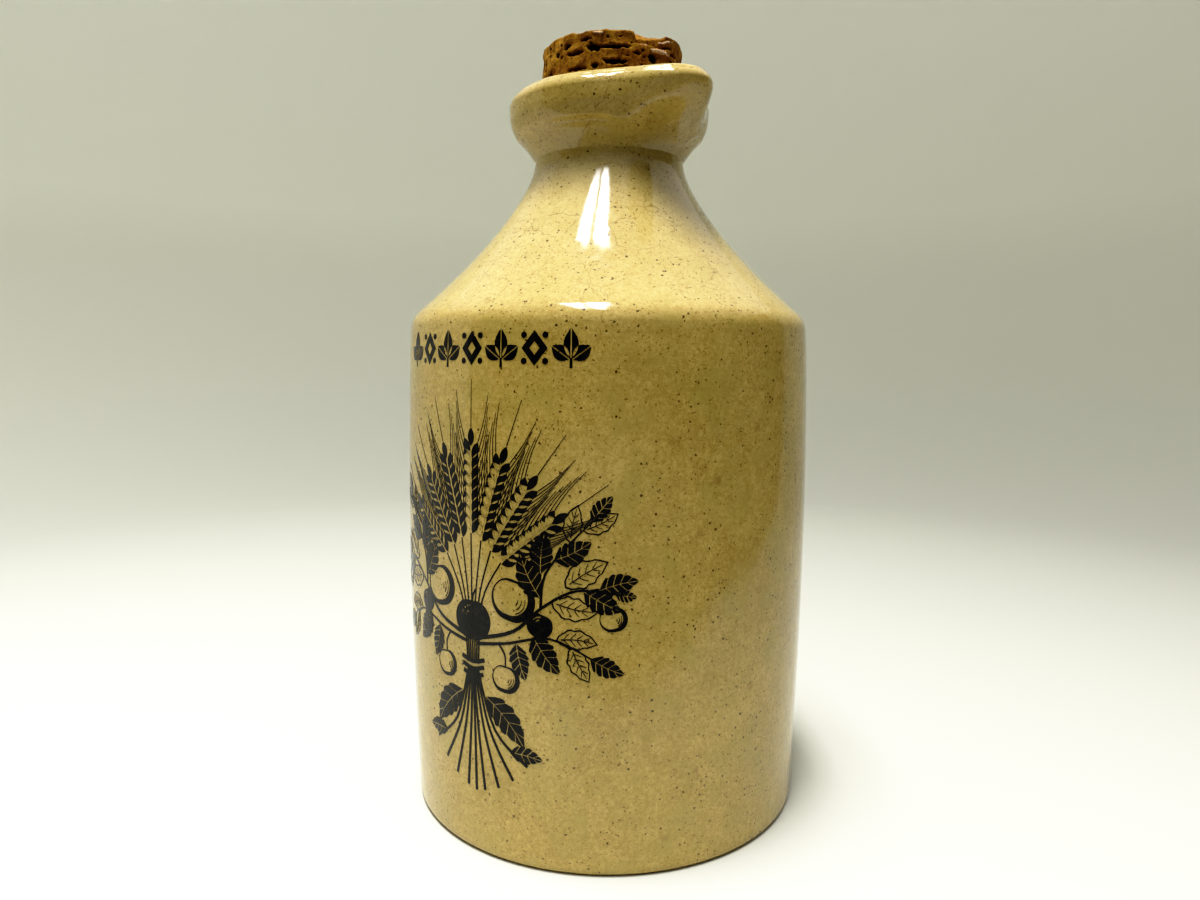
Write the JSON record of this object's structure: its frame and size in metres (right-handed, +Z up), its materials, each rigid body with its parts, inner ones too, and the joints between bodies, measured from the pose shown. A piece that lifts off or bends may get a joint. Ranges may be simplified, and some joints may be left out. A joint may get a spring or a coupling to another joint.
{
  "type": "stoneware vinegar cruet with a cork",
  "caption": "Glazed stoneware cruet: an upright round body, a hollow cone shoulder, a flared collar pinched into a pouring lip, and a worn cork in its mouth.",
  "frame": {"origin": "centre of the flat underside, on the surface that the cruet stands on", "axes": "+Z up along the bottle's own axis, +X out along the pouring lip, and the print round the -Y side"},
  "size_m": [0.0794, 0.0794, 0.1462],
  "materials": {
    "glaze": "glossy clear glaze over speckled buff stoneware",
    "cork": "dry natural cork, crumbled at the top",
    "print": "black print fired under the glaze"
  },
  "bodies": {
    "root": {"bottle": "glaze", "cork": "cork"}
  },
  "joints": []
}
